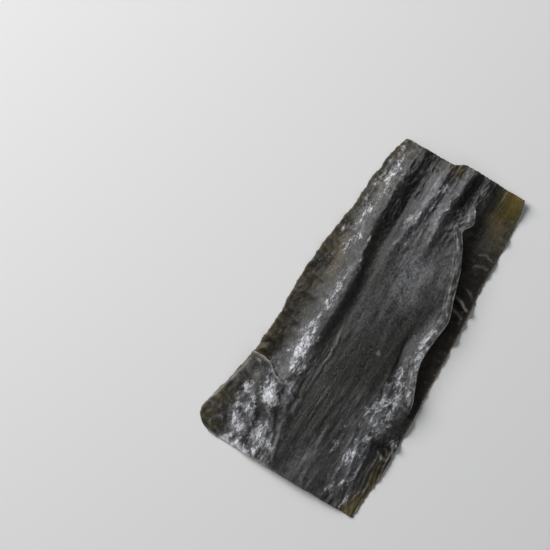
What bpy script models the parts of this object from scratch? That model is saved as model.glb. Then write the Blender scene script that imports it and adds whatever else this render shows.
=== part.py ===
"""A sheet of dried kelp: one leaf cut square at both ends, stiff from drying, lying on a table.

Lengths are in millimetres until the mesh is written, which is in metres. X runs across the leaf, Y along
it towards its narrow end, and Z up. The leaf is a grid whose points are placed by the functions below,
thickened with Solidify, and cut flat where it touches the table.
"""

import bmesh
import bpy
import numpy as np

MM = 0.001

# Driving sizes of the leaf
LENGTH = 244.0
BAND_MIDDLE = 7.0  # the thick middle band's centre line, across the leaf
BAND_HALF = 24.0
BAND_TOP = 8.2  # height of the middle band's upper face above the table
MARGIN_SAG = 8.8  # how far the outer margins would sag below the band, if the table didn't hold them up
MIDDLE_THICK = 1.7
MARGIN_THICK = 0.8
EDGE_THICK = 0.55

# How the leaf rests: how softly the table stops its sag, and how far its lowest parts are cut flat
REST_SOFTNESS = 1.2
REST_CUT = 0.28
TABLE_BLOCK = (400, 500, 20)  # the block that cuts them, wider and longer than the leaf

# The tear in the left margin: its tip, the grid row it follows, how far it bends up the leaf, and its lips
TEAR_TIP = -29.0
TEAR_ROW = 13
TEAR_RISE = 7.5
TEAR_REACH = 20.0
LOWER_LIP_LIFT = 4.2
UPPER_LIP_SINK = 0.7
LIPS_APART = 0.3
LIPS_LAP = 2.4  # how far the lower lip lies over the upper one, further out than OPEN_DEPTH from the tip
OPEN_DEPTH = 9.0

# The pleat in the right margin, an S fold whose crest hangs over the strip outside it: half its width, and
# its section as shares of that width across and of its drop down, at places from -1 to 1 on its grid strip
FOLD_HALF = 5.5
FOLD_ACROSS = [
    (-1, -1), (-0.6, -0.42), (-0.4, 0.02), (-0.2, 0.22), (0, 0.14), (0.4, -0.12), (0.6, 0.05), (1, 1),
]
FOLD_DOWN = [
    (-1, 0), (-0.6, -0.03), (-0.4, 0), (-0.2, 0.12), (0, 0.34), (0.4, 0.8), (0.6, 0.95), (0.8, 1), (1, 1),
]

# Grid cells along the leaf, and across it from the left edge to the fold, over it, and on to the right edge
ROWS = 58
CELLS_LEFT, CELLS_FOLD, CELLS_RIGHT = 20, 10, 5

# Lines on the leaf, as (position along it, position across it), from its foot to its narrow end
LEFT_EDGE = [
    (-122, -56), (-117, -65), (-109, -68.5), (-96, -65.5), (-82, -61.5), (-66, -58), (-50, -57),
    (-25, -56), (0, -57), (30, -55), (60, -51), (90, -49), (112, -46), (122, -43),
]
RIGHT_EDGE = [
    (-122, 57.5), (-105, 58.5), (-85, 60), (-66, 59.5), (-48, 59), (-30, 58), (0, 56.5), (30, 55),
    (60, 52.5), (90, 51.5), (108, 50), (122, 47),
]
FOLD_LINE = [
    (-122, 50), (-70, 52), (-50, 53.5), (-38, 52.5), (-24, 47), (-10, 42), (8, 42), (24, 43.5), (42, 38),
    (60, 32), (74, 25), (82, 20.5), (89, 24), (98, 21), (110, 18), (122, 18),
]
LEFT_RIDGE = [
    (-122, -36), (-70, -30), (-45, -27), (-15, -26), (12, -25.5), (30, -29), (48, -32), (75, -33),
    (122, -30),
]
INNER_TOP_RIDGE = [(40, -14.5), (52, -13), (75, -10), (100, -7.5), (122, -6)]
OUTER_TOP_RIDGE = [(50, 7), (64, 6), (78, 4.5), (96, 5), (110, 7.5), (122, 9)]

# How high those folds stand, as (position along the leaf, height)
FOLD_DROP = [
    (-122, 0), (-60, 0), (-50, 1.5), (-38, 6), (-20, 11), (0, 13.2), (30, 14), (60, 13), (80, 10.4),
    (92, 7), (102, 2.6), (112, 0), (122, 0),
]
LEFT_RIDGE_HIGH = [
    (-122, 0.6), (-72, 1.2), (-45, 2.0), (-15, 3.3), (10, 4.2), (45, 4.2), (85, 3.0), (122, 1.0),
]
INNER_TOP_HIGH = [(38, 0), (52, 2.2), (90, 3.2), (122, 2.0)]
OUTER_TOP_HIGH = [(46, 0), (62, 1.8), (90, 4.2), (122, 3.2)]


def smooth(low, high, x):
    """0 below low, 1 above high, and an S curve between. low may be the larger."""
    s = np.clip((x - low) / (high - low), 0, 1)
    return s * s * (3 - 2 * s)


def through(points, at):
    """The smooth curve through (position, value) points, read at each position in at."""
    x, y = np.array(points, float).T
    slope = np.gradient(y, x)
    i = np.clip(np.searchsorted(x, at) - 1, 0, len(x) - 2)
    step = x[i + 1] - x[i]
    s = np.clip((at - x[i]) / step, 0, 1)
    ends = (1 + 2 * s) * (1 - s) ** 2 * y[i] + s * s * (3 - 2 * s) * y[i + 1]
    return ends + step * (s * (1 - s) ** 2 * slope[i] + s * s * (s - 1) * slope[i + 1])


def bell(x, wide):
    return np.exp(-((x / wide) ** 2))


def spot(u, v, across, along, wide, tall):
    """A rounded patch centred at (across, along)."""
    return bell(u - across, wide) * bell(v - along, tall)


def ridge(distance, left, right):
    """A crest whose two flanks have different widths."""
    return np.where(distance < 0, bell(distance, left), bell(distance, right))


def drift(x, y, seed):
    """Gradient noise between about -1 and 1, one lattice cell to a unit of x and y."""
    size = 64
    turn = np.random.default_rng(seed).uniform(0, 2 * np.pi, (size, size))
    column, row = np.floor(x).astype(int), np.floor(y).astype(int)
    across, along = x - column, y - row

    def corner(i, j):
        angle = turn[(column + i) % size, (row + j) % size]
        return np.cos(angle) * (across - i) + np.sin(angle) * (along - j)

    ease_x, ease_y = (s**3 * (s * (6 * s - 15) + 10) for s in (across, along))
    near = corner(0, 0) * (1 - ease_x) + corner(1, 0) * ease_x
    far = corner(0, 1) * (1 - ease_x) + corner(1, 1) * ease_x
    return 1.5 * (near * (1 - ease_y) + far * ease_y)


def fold_half(v):
    """Half the width of the fold's grid strip, which narrows where the fold runs into the edge."""
    room = through(RIGHT_EDGE, v) - through(FOLD_LINE, v)
    return np.minimum(FOLD_HALF, 0.72 * room)


def fold_part(u, v):
    """Where a point lies on the fold: -1 before it, 1 past it."""
    return np.clip((u - through(FOLD_LINE, v)) / fold_half(v), -1, 1)


def across_at(share, v):
    """Position across the leaf for a column share: 0 to 1 left of the fold, 1 to 2 over it, then to 3."""
    away_from_ends = smooth(118, 100, np.abs(v))
    left = through(LEFT_EDGE, v) + 0.9 * drift(v / 11, 0 * v, 3) * away_from_ends
    right = through(RIGHT_EDGE, v) + 0.6 * drift(v / 8, 0 * v, 4) * away_from_ends
    fold, half = through(FOLD_LINE, v), fold_half(v)
    borders = [left, fold - half, fold + half, right]
    zone = np.clip(share.astype(int), 0, 2)
    low, high = np.choose(zone, borders[:3]), np.choose(zone, borders[1:])
    return low + (high - low) * (share - zone)


def along_at(u, v):
    """Position along the leaf of grid row v. The cut ends aren't straight, and one row follows the tear."""
    top = -4.4 * smooth(2, -8, u) - 0.6 * smooth(-35, -46, u) + 0.4 * drift(u / 9, 0 * u, 5)
    foot = 0.5 * drift(u / 10, 0 * u, 6) + 0.4 * smooth(44, 58, u)
    rise = TEAR_RISE * smooth(TEAR_TIP, TEAR_TIP - TEAR_REACH, u) * bell(v - tear_along(), 16)
    return v + top * smooth(70, 122, v) + foot * smooth(-70, -122, v) + rise


def tear_along():
    """Where the tear's tip lies along the leaf."""
    return LENGTH * (TEAR_ROW / ROWS - 0.5)


def thickness(u, v):
    """Thick in the middle band, thin in the margins and at the fold, and thinnest at the side edges."""
    from_edge = np.minimum(u - through(LEFT_EDGE, v), through(RIGHT_EDGE, v) - u)
    thin = EDGE_THICK + (MARGIN_THICK - EDGE_THICK) * smooth(0, 9, from_edge)
    in_band = smooth(BAND_HALF + 16, BAND_HALF, np.abs(u - BAND_MIDDLE))
    line = through(FOLD_LINE, v)
    at_fold = smooth(0, 4, through(FOLD_DROP, v)) * smooth(line - 16, line - 5, u)
    return thin + (MIDDLE_THICK - thin) * in_band * (1 - at_fold)


def broad_shape(u, v):
    """The middle band's low crown, the sag of both margins, and the droop at the two ends."""
    crown = 1.1 * np.clip(1 - ((u - BAND_MIDDLE) / BAND_HALF) ** 2, -1, 1)
    sag = smooth(-24, through(LEFT_EDGE, v) + 3, u) + 0.8 * smooth(38, 60, u) * smooth(-30, -62, v)
    droop = 2.2 * smooth(84, 122, np.abs(v)) + 1.2 * smooth(-70, -122, v)
    return BAND_TOP + crown - MARGIN_SAG * sag - droop


def long_ridges(u, v):
    """Crests and grooves that run along the leaf."""
    from_left = u - through(LEFT_RIDGE, v)
    z = through(LEFT_RIDGE_HIGH, v) * ridge(from_left, 12, 5)
    z = z - 1.5 * ridge(from_left - 8, 4, 8) * smooth(-50, 5, v)
    z = z + through(INNER_TOP_HIGH, v) * ridge(u - through(INNER_TOP_RIDGE, v), 4.2, 3.4)
    z = z + through(OUTER_TOP_HIGH, v) * ridge(u - through(OUTER_TOP_RIDGE, v), 4.2, 3.0)
    z = z - 3.6 * spot(u, v, 14, 104, 4.0, 17) - 3.2 * ridge(u + 20, 4, 6.5) * bell(v - 78, 32)
    return z + 0.35 * drift(u / 7, v / 70, 7) + 1.1 * spot(u, v, 34, -82, 4.5, 18)


def right_fold(u, v):
    """The rise to the fold's crest, and the drop on its far side to the strip of margin that lies flat."""
    drop, line = through(FOLD_DROP, v), through(FOLD_LINE, v)
    rise = 0.17 * drop * smooth(line - 15, line - 1.5, u)
    groove = 1.3 * bell(u - line + 13, 3.2) * smooth(2, 8, drop) * smooth(14, 2, v)
    return rise - groove - drop * through(FOLD_DOWN, fold_part(u, v))


def flap(u, v):
    """The narrow end's right corner, which lies low but curls up, with a knob where the fold starts."""
    low = 3.6 * smooth(20, 34, u) * smooth(76, 104, v) + 2.2 * spot(u, v, 40, 92, 10, 12)
    return 3.0 * spot(u, v, 21.5, 97, 2.6, 7) + 2.6 * spot(u, v, 50, 122, 15, 13) - low


def lower_right(u, v):
    """The swelling, the pinched hollow and the long crease of the right margin below the fold."""
    swelling = 2.6 * spot(u, v, 49, -51, 9, 9)
    pinch = 2.2 * spot(u, v, 57, -66, 5, 3) - 3.0 * spot(u, v, 51, -71, 5, 3.2)
    return swelling + pinch + 1.2 * spot(u, v, 49, -112, 2.5, 13)


def left_lobe(u, v):
    """Soft diagonal wrinkles in the wide corner below the tear."""
    where = smooth(-64, -78, v) * smooth(-10, -26, u)
    wave = np.sin(2 * np.pi * (u + 0.35 * (v + 95)) / 13 + 0.8)
    return where * (1.3 * wave * smooth(-122, -104, v) + 0.8 * drift(u / 14, v / 17, 8))


def raised(z, softness):
    """z where it is above 0, and 0 below, with a soft bend between."""
    return 0.5 * (z + np.hypot(z, softness))


def ruffles(u, v):
    """Crosswise waves of the margins, which stand up from the table and grow towards the side edges."""
    at_left = smooth(through(LEFT_EDGE, v) + 28, through(LEFT_EDGE, v) + 2, u)
    past_fold = smooth(0, 1, fold_part(u, v)) * smooth(112, 70, v)
    at_right = np.maximum(smooth(through(RIGHT_EDGE, v) - 14, through(RIGHT_EDGE, v), u), past_fold)
    left_waves = 4.2 * drift((v + 0.25 * u) / 15, u / 40, 9) + 1.5 * drift((v - 0.4 * u) / 7.5, u / 20, 12)
    right_waves = 2.6 * drift(v / 11, u / 30, 10) + 1.0 * drift((v + 0.3 * u) / 6, u / 16, 13)
    puckers = 2.4 * bell(v - 40 + 0.3 * (u - 45), 2.6) + 1.5 * bell(v - 71 - 0.2 * (u - 45), 3.0)
    calm = 1 - 0.8 * smooth(-66, -90, v)
    z = at_left * calm * raised(left_waves, 1.0) + at_right * calm * raised(right_waves, 0.8)
    return z + past_fold * puckers + 2.2 * spot(u, v, -52, -53, 4, 3)


def height(u, v):
    """The upper face's height. Where the leaf would sag below the table, the table holds it up level."""
    z = broad_shape(u, v) + long_ridges(u, v) + right_fold(u, v) + flap(u, v)
    z = z + lower_right(u, v) + left_lobe(u, v) + 0.5 * drift(u / 27, v / 31, 11)
    under = z - thickness(u, v)
    return thickness(u, v) + raised(under, REST_SOFTNESS) + ruffles(u, v) - REST_CUT


def lean(u, v):
    """Sideways shift that turns the drop of the fold into an S, its crest hanging over its foot."""
    part = fold_part(u, v)
    return fold_half(v) * (through(FOLD_ACROSS, part) - part) * smooth(1, 6, through(FOLD_DROP, v))


def tear_lips(u, v, side):
    """How far the tear's lips part along the leaf, and how far they rise. side is -1 below it, 1 above."""
    depth = np.clip(TEAR_TIP - u, 0, None)
    near = bell(v - tear_along(), 13)
    lap = smooth(OPEN_DEPTH, OPEN_DEPTH + 7, depth)
    apart = 0.5 * (LIPS_APART * smooth(0, 2, depth) - (LIPS_APART + LIPS_LAP) * lap) * side
    lift = np.where(side < 0, LOWER_LIP_LIFT, -UPPER_LIP_SINK) * smooth(0, 18, depth)
    return apart * near, lift * near


def column_shares():
    """The grid's columns, as shares for across_at."""
    cells = (CELLS_LEFT, CELLS_FOLD, CELLS_RIGHT)
    return np.append(np.concatenate([zone + np.arange(n) / n for zone, n in enumerate(cells)]), 3.0)


def grid_places(grid, columns):
    """Column and row of each point of the unit grid, as whole numbers."""
    at = np.array([vertex.co for vertex in grid.verts])[:, :2] + 0.5
    return np.rint(at * (columns - 1, ROWS)).astype(int)


def tear_grid(grid, shares):
    """Splits the grid along the tear's row, from the left edge to its tip. Returns each point's side."""
    along_tear = across_at(shares, np.full(len(shares), tear_along()))
    tip = int(np.argmin(np.abs(along_tear - TEAR_TIP)))
    places = grid_places(grid, len(shares))
    on_tear = (places[:, 1] == TEAR_ROW) & (places[:, 0] <= tip)
    cut = [edge for edge in grid.edges if all(on_tear[vertex.index] for vertex in edge.verts)]
    bmesh.ops.split_edges(grid, edges=cut)
    around = [[face.calc_center_median().y for face in vertex.link_faces] for vertex in grid.verts]
    return np.where([np.mean(faces) < TEAR_ROW / ROWS - 0.5 for faces in around], -1, 1)


def place_points(grid, shares, side):
    """Moves every grid point to its place on the leaf, the origin below the middle of the leaf's box."""
    places = grid_places(grid, len(shares))
    row_along = LENGTH * (places[:, 1] / ROWS - 0.5)
    u = across_at(shares[places[:, 0]], row_along)
    v = along_at(u, row_along)
    apart, lift = tear_lips(u, row_along, side)
    z = np.maximum(height(u, v) + lift, thickness(u, v) - REST_CUT)
    points = np.column_stack([u + lean(u, v), v + apart, z])
    middle = (points.min(axis=0) + points.max(axis=0)) / 2
    points[:, :2] -= middle[:2]
    for vertex, point in zip(grid.verts, points * MM):
        vertex.co = point
    return thickness(u, v)


def make_leaf(parts):
    """The upper face as an open grid, torn and shaped, its thickness in a vertex group for Solidify."""
    shares = column_shares()
    grid = bmesh.new()
    bmesh.ops.create_grid(grid, x_segments=len(shares) - 1, y_segments=ROWS, size=0.5)
    side = tear_grid(grid, shares)
    thick = place_points(grid, shares, side)
    leaf = bpy.data.objects.new("kelp_sheet", bpy.data.meshes.new("kelp_sheet"))
    parts.objects.link(leaf)
    grid.to_mesh(leaf.data)
    grid.free()
    group = leaf.vertex_groups.new(name="thickness")
    for index, share in enumerate(thick / MIDDLE_THICK):
        group.add([index], float(share), "REPLACE")
    leaf.data.shade_smooth()
    return leaf


def thicken(leaf):
    """Gives the leaf its thickness, below the upper face."""
    solid = leaf.modifiers.new("thickness", "SOLIDIFY")
    solid.thickness = MIDDLE_THICK * MM
    solid.offset = -1
    solid.vertex_group = "thickness"


def stand_on_table(leaf, cutters):
    """Cuts off what lies below the table, which leaves flat spots to rest on."""
    bpy.ops.mesh.primitive_cube_add(size=1)
    table = bpy.context.object
    table.name = "table"
    table.scale = np.array(TABLE_BLOCK) * MM
    table.location = (0, 0, -TABLE_BLOCK[2] * MM / 2)
    table.hide_render = True
    table.display_type = "WIRE"
    for collection in list(table.users_collection):
        collection.objects.unlink(table)
    cutters.objects.link(table)
    cut = leaf.modifiers.new("table", "BOOLEAN")
    cut.operation = "DIFFERENCE"
    cut.solver = "EXACT"
    cut.object = table


def kelp_material():
    """Blackish olive leather with a dull sheen."""
    material = bpy.data.materials.new("kelp")
    material.use_nodes = True
    shader = material.node_tree.nodes["Principled BSDF"]
    shader.inputs["Base Color"].default_value = (0.036, 0.035, 0.030, 1)
    shader.inputs["Roughness"].default_value = 0.6
    shader.inputs["Metallic"].default_value = 0.0
    return material


def new_collection(name):
    collection = bpy.data.collections.new(name)
    bpy.context.scene.collection.children.link(collection)
    return collection


def main():
    for old in list(bpy.data.objects):
        bpy.data.objects.remove(old)
    leaf = make_leaf(new_collection("dried_kelp_sheet"))
    leaf.data.materials.append(kelp_material())
    thicken(leaf)
    stand_on_table(leaf, new_collection("cutters"))


main()
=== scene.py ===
"""Looks of the dried kelp sheet: the leaf's fine surface, its finish, and the floor, light and camera.

Lengths are in millimetres until a mesh is written, which is in metres. u runs across the leaf, v along it
towards its narrow end, and z up. The broad shape is worked out here as it is for the solid, on a finer
grid, and the fine wrinkles, ragged edges and masks for the finish are added to it.
"""

import math
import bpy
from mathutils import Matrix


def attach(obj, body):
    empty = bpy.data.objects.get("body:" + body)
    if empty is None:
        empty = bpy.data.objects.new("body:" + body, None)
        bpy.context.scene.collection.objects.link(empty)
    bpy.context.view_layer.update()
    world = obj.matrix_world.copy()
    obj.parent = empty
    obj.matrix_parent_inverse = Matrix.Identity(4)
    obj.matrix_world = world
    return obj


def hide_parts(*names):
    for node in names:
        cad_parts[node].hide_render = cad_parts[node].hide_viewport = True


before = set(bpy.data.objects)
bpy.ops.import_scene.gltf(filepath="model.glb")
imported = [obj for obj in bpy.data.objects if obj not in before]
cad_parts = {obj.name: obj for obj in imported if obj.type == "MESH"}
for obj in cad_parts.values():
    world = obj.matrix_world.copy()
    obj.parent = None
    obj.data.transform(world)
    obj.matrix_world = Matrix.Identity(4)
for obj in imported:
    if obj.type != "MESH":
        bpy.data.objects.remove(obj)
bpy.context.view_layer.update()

from types import SimpleNamespace

import bmesh
import bpy
import numpy as np
from mathutils import Matrix, Vector

MM = 0.001

# Driving sizes of the leaf
LENGTH = 244.0
BAND_MIDDLE = 7.0  # the thick middle band's centre line, across the leaf
BAND_HALF = 24.0
BAND_TOP = 8.2  # height of the middle band's upper face above the table
MARGIN_SAG = 8.8  # how far the outer margins would sag below the band, if the table didn't hold them up
MIDDLE_THICK = 1.7
MARGIN_THICK = 0.8
EDGE_THICK = 0.55

# How the leaf rests: how softly the table stops its sag, and how far its lowest parts are cut flat
REST_SOFTNESS = 1.2
REST_CUT = 0.28
FLOOR_GAP = 0.1  # keeps the floor and the leaf's flat spots from lying in one plane

# The tear in the left margin: its tip, its row of the grid, how far it bends up the leaf, and its lips
TEAR_TIP = -29.0
TEAR_ROW = 52
TEAR_RISE = 7.5
TEAR_REACH = 20.0
LOWER_LIP_LIFT = 4.2
UPPER_LIP_SINK = 0.7
LIPS_APART = 0.12
LIPS_LAP = 2.4  # how far the lower lip lies over the upper one, further out than OPEN_DEPTH from the tip
OPEN_DEPTH = 9.0

# The pleat in the right margin, an S fold whose crest hangs over the strip outside it: half its width,
# and its section as shares of that width across and of its drop down, at places from -1 to 1 on its strip
# of the grid
FOLD_HALF = 5.5
FOLD_ACROSS = [
    (-1, -1), (-0.6, -0.42), (-0.4, 0.02), (-0.2, 0.22), (0, 0.14), (0.4, -0.12), (0.6, 0.05), (1, 1),
]
FOLD_DOWN = [
    (-1, 0), (-0.6, -0.03), (-0.4, 0), (-0.2, 0.12), (0, 0.34), (0.4, 0.8), (0.6, 0.95), (0.8, 1), (1, 1),
]

# Thin lips that follow the fold's crest, as place on that strip and strength
CREST_LINES = [(-0.30, 0.9), (-0.54, 0.5), (-0.72, 0.56), (-0.98, 0.36)]

# Grid cells along the leaf, and across it: from the left edge to the fold, over it, and right of it
ROWS = 232
CELLS_LEFT, CELLS_FOLD, CELLS_RIGHT = 136, 26, 30

# Lines on the leaf, as (position along it, position across it), from its foot to its narrow end
LEFT_EDGE = [
    (-122, -56), (-117, -65), (-109, -68.5), (-96, -65.5), (-82, -61.5), (-66, -58), (-50, -57),
    (-25, -56), (0, -57), (30, -55), (60, -51), (90, -49), (112, -46), (122, -43),
]
RIGHT_EDGE = [
    (-122, 57.5), (-105, 58.5), (-85, 60), (-66, 59.5), (-48, 59), (-30, 58), (0, 56.5), (30, 55),
    (60, 52.5), (90, 51.5), (108, 50), (122, 47),
]
FOLD_LINE = [
    (-122, 50), (-70, 52), (-50, 53.5), (-38, 52.5), (-24, 47), (-10, 42), (8, 42), (24, 43.5), (42, 38),
    (60, 32), (74, 25), (82, 20.5), (89, 24), (98, 21), (110, 18), (122, 18),
]
LEFT_RIDGE = [
    (-122, -36), (-70, -30), (-45, -27), (-15, -26), (12, -25.5), (30, -29), (48, -32), (75, -33),
    (122, -30),
]
INNER_TOP_RIDGE = [(40, -14.5), (52, -13), (75, -10), (100, -7.5), (122, -6)]
OUTER_TOP_RIDGE = [(50, 7), (64, 6), (78, 4.5), (96, 5), (110, 7.5), (122, 9)]

# How high those folds stand, as (position along the leaf, height)
FOLD_DROP = [
    (-122, 0), (-60, 0), (-50, 1.5), (-38, 6), (-20, 11), (0, 13.2), (30, 14), (60, 13), (80, 10.4),
    (92, 7), (102, 2.6), (112, 0), (122, 0),
]
LEFT_RIDGE_HIGH = [
    (-122, 0.6), (-72, 1.2), (-45, 2.0), (-15, 3.3), (10, 4.2), (45, 4.2), (85, 3.0), (122, 1.0),
]
INNER_TOP_HIGH = [(38, 0), (52, 2.2), (90, 3.2), (122, 2.0)]
OUTER_TOP_HIGH = [(46, 0), (62, 1.8), (90, 4.2), (122, 3.2)]

# Creases as height (below 0 where pressed in), width and the places (across, along) they pass
CREASES = [
    (-0.7, 1.0, [(-29, -67), (-20, -70), (-13, -73)]),
    (-0.6, 1.1, [(-21, -33), (-19, -55), (-17, -72), (-17, -88), (-12, -104), (-7, -121)]),
    (0.5, 0.7, [(-17, -90), (-13, -104), (-8, -119)]),
    (-0.8, 1.4, [(26, 8), (27, -4), (29, -15), (31, -30), (33, -43)]),
    (0.5, 0.8, [(20, 79), (24, 69), (29, 60), (32, 52)]),
    (0.45, 0.7, [(22, 70), (26, 62), (29, 54)]),
    (0.4, 0.7, [(36, 32), (37, 16), (36, 2), (36, -12)]),
    (-0.5, 0.8, [(39, 34), (41, 20), (39.5, 6), (37.5, -8)]),
    (0.5, 0.6, [(-31, 47), (-29.5, 36), (-26, 24)]),
    (0.6, 0.7, [(54, -66), (57, -69), (59, -72)]),
    (-0.9, 1.2, [(47, -70), (52, -72), (56, -75)]),
    (0.8, 0.7, [(50, -117), (52, -108), (56, -99)]),
    (1.3, 0.9, [(36, -47), (40, -42), (47, -39.5), (54, -43)]),
    (-1.2, 1.0, [(29, -35), (32, -41), (33, -48)]),
    (0.8, 0.7, [(40, 43.5), (47, 40), (54, 37)]),
    (-0.8, 0.8, [(40, 40), (47, 36.5), (54, 34)]),
    (-0.6, 0.9, [(41, -50), (46, -58), (54, -60)]),
    (0.7, 0.8, [(-57, -56), (-52, -52), (-47, -55)]),
    (-0.6, 0.8, [(-57, -52), (-52, -48), (-46, -49)]),
    (-0.5, 0.9, [(-6, 118), (-4, 104), (-5, 88), (-7, 72)]),
    (0.4, 0.6, [(-6, 101), (-6.5, 92), (-7, 82)]),
    (-0.6, 1.0, [(18, 100), (15, 90), (11, 82), (12, 72)]),
    (0.5, 0.8, [(12, 96), (17, 89), (22, 84)]),
    (0.45, 0.8, [(-40, -62), (-33, -66), (-26, -68)]),
    (0.45, 0.7, [(-42, -92), (-38, -98), (-33, -104)]),
    (-0.5, 0.9, [(-60, -92), (-50, -95), (-42, -99), (-36, -106)]),
    (0.4, 0.7, [(-30, -86), (-24, -93), (-19, -97)]),
    (0.6, 0.7, [(-14, -12), (-12.5, -35), (-13.5, -60)]),
    (0.35, 0.7, [(40, 66), (46, 70), (51, 70)]),
    (-0.4, 0.8, [(38, 57), (45, 60), (52, 59)]),
]

# White bloom: streaks as half width, strength and the places (across, along) they pass
BLOOM_STREAKS = [
    (1.9, 0.47, [(-26, 36), (-29, 26), (-30.5, 8), (-32, -8), (-33, -25), (-34, -41)]),
    (4.6, 0.20, [(-29, 30), (-31, 8), (-32, -10), (-33, -32)]),
    (4.6, 0.75, [(-33, -24), (-33, -44), (-31, -62)]),
    (3.0, 0.50, [(-29, -37), (-26, -46), (-27, -56)]),
    (5.0, 0.42, [(-52, -59), (-44, -64), (-38, -66)]),
    (4.8, 1.0, [(-39, -69), (-36, -76), (-30, -85)]),
    (3.2, 0.42, [(-26, -63), (-23, -72), (-22, -80)]),
    (2.6, 0.62, [(-50, -76), (-48, -86), (-49, -98)]),
    (2.2, 0.56, [(-42, -86), (-41, -97), (-36, -103)]),
    (4.4, 0.98, [(-43, -99), (-41, -110), (-45, -122)]),
    (3.8, 0.92, [(-29, -96), (-27, -104), (-26, -116)]),
    (3.6, 0.95, [(-22, -102), (-17, -111), (-15, -122)]),
    (3.6, 0.95, [(-50, -121), (-34, -119), (-22, -121)]),
    (1.5, 0.50, [(40, 36), (39, 20), (38, 5), (38, -10), (39, -22), (38, -36)]),
    (1.7, 0.72, [(41, 6), (42.5, -8), (45.5, -22), (48, -35)]),
    (1.3, 0.36, [(35, -4), (33.5, -22), (31.5, -38)]),
    (5.0, 0.46, [(38, 20), (40, -10), (43, -32)]),
    (4.2, 0.90, [(46, -36), (37, -42), (33, -52)]),
    (5.6, 0.52, [(27, -58), (37, -58), (46, -63)]),
    (2.7, 0.80, [(38.5, -68), (36, -80), (34, -98)]),
    (2.0, 0.60, [(43, -74), (43, -88), (41, -103)]),
    (1.8, 0.88, [(29, -96), (33, -106), (33, -120)]),
    (1.2, 0.50, [(41, -99), (36, -109), (36, -119)]),
    (1.6, 0.46, [(20.5, -66), (22, -78), (21, -90)]),
    (3.6, 0.52, [(-4.5, 103), (-6.5, 86), (-9.5, 66), (-11, 46)]),
    (2.0, 0.34, [(5, 104), (3.5, 86), (5.5, 64)]),
    (2.0, 0.50, [(20, 105), (20.5, 95), (24, 87)]),
    (0.8, 0.85, [(-31, 48), (-29, 36), (-26, 24)]),
]

# Thin lines of painted highlight on wrinkles and edges, with rubbed powder, as strength and the places
# (across, along) they pass
HIGHLIGHT_LINES = [
    (0.26, [(39, 65), (45, 69), (51, 69)]),
    (0.58, [(41, 43), (47, 40), (53, 37)]),
    (0.42, [(43, 35), (48, 33), (53, 31)]),
    (0.22, [(38, 74), (44, 77), (50, 75)]),
    (0.24, [(42, 51), (47, 50), (52, 46)]),
    (0.36, [(22, 82), (25, 70), (30, 59)]),
    (0.40, [(54, -63), (57, -68), (60, -73)]),
    (0.36, [(48, -74), (53, -77), (58, -77)]),
    (0.34, [(-17, -92), (-13, -106), (-9, -119)]),
    (0.13, [(-14, -14), (-12.8, -38), (-14, -66)]),
    (0.16, [(6, -84), (7.5, -98), (9, -114)]),
    (0.16, [(10, -74), (11, -88), (13, -102)]),
]

# Rounded patches of bloom as (across, along, half width, half length, strength)
BLOOM_PATCHES = [
    (14, -15, 1.1, 1.4, 0.9), (-28, -43, 3, 3, 0.6), (-56, -110, 3.4, 1.8, 0.75), (-35, -92, 12, 20, 0.16),
    (46, -112, 6, 10, 0.3), (-41, 84, 6, 30, 0.5), (-43, 44, 5, 24, 0.42), (55, -67, 4, 2, 0.6),
    (36, -52, 6, 10, 0.3), (-32, -50, 6, 14, 0.25), (44, -54, 4, 5, 0.4),
]

# Soft patches where a thin film of powder greys the leaf, and on the narrow end's ridges a painted sheen,
# given in the same way
HAZE_AND_SHEEN_PATCHES = [
    (8, 40, 12, 24, 0.75), (2, 10, 18, 16, 0.18), (-9, 82, 6.5, 30, 1.0), (4, 84, 4, 24, 0.85),
    (22, 98, 4, 12, 0.5), (-31, 0, 6, 34, 0.30), (-31, -50, 7, 16, 0.45), (-34, -97, 16, 28, 0.24),
    (-50, -70, 10, 12, 0.40), (39, -4, 6, 34, 0.50), (38, -52, 10, 16, 0.50), (35, -88, 8, 26, 0.50),
    (48, -104, 9, 20, 0.35), (-42, 60, 9, 50, 0.28), (12, -110, 13, 16, 0.35), (22, -60, 6, 14, 0.35),
    (24, 52, 8, 24, 0.30), (40, 86, 9, 14, 0.22),
]

# Patches of painted shade, where the leaf is painted blackest, given in the same way, and lines of painted
# shade as the places they pass
PAINTED_SHADE_PATCHES = [
    (-19, 84, 5.5, 36, 1.0), (-15, 30, 4, 30, 0.35), (-24, -12, 3, 20, 0.4), (12.5, 106, 5, 16, 1.0),
    (52, -73, 4, 3, 1.0), (-33, -91, 4, 5, 0.6),
]
PAINTED_SHADE_LINES = [
    [(27, 8), (28.5, -15), (31, -43)],
    [(-19.5, -18), (-18.5, -45), (-17.5, -70), (-14, -96)],
]

# Colours of the finish, as linear red, green, blue and alpha
LEAF_BLACK = (0.0046, 0.0046, 0.0042, 1)
LEAF_GREY = (0.022, 0.0215, 0.0197, 1)
LEAF_FLECK = (0.050, 0.050, 0.048, 1)
LEAF_CLOUD = (0.022, 0.021, 0.0175, 1)
# Painted highlight: the crests of the fine surface are painted lighter, with some dust on them
LEAF_CREST_HIGHLIGHT = (0.070, 0.070, 0.068, 1)
OLIVE_DARK = (0.036, 0.028, 0.007, 1)
OLIVE_LIGHT = (0.100, 0.068, 0.002, 1)
OLIVE_FLECK = (0.030, 0.024, 0.009, 1)
# Painted highlight on the crests of the olive margins
OLIVE_CREST_HIGHLIGHT = (0.105, 0.088, 0.050, 1)
THREAD_BLACK = (0.0045, 0.0045, 0.004, 1)
# Painted shade in the hollows of the fine surface, and the black of the crazing cracks
HOLLOW_SHADE_AND_CRACK_BLACK = (0.004, 0.004, 0.0035, 1)
# Painted shade in grooves and beside the fold's crest
GROOVE_SHADE_BLACK = (0.0055, 0.0053, 0.0045, 1)
# Brown-black of the strip outside the fold, darker as a painted shadow, and painted shade in the margins'
# hollows
BROWN_BLACK_AND_SHADOW = (0.0105, 0.006, 0.0025, 1)
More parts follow.
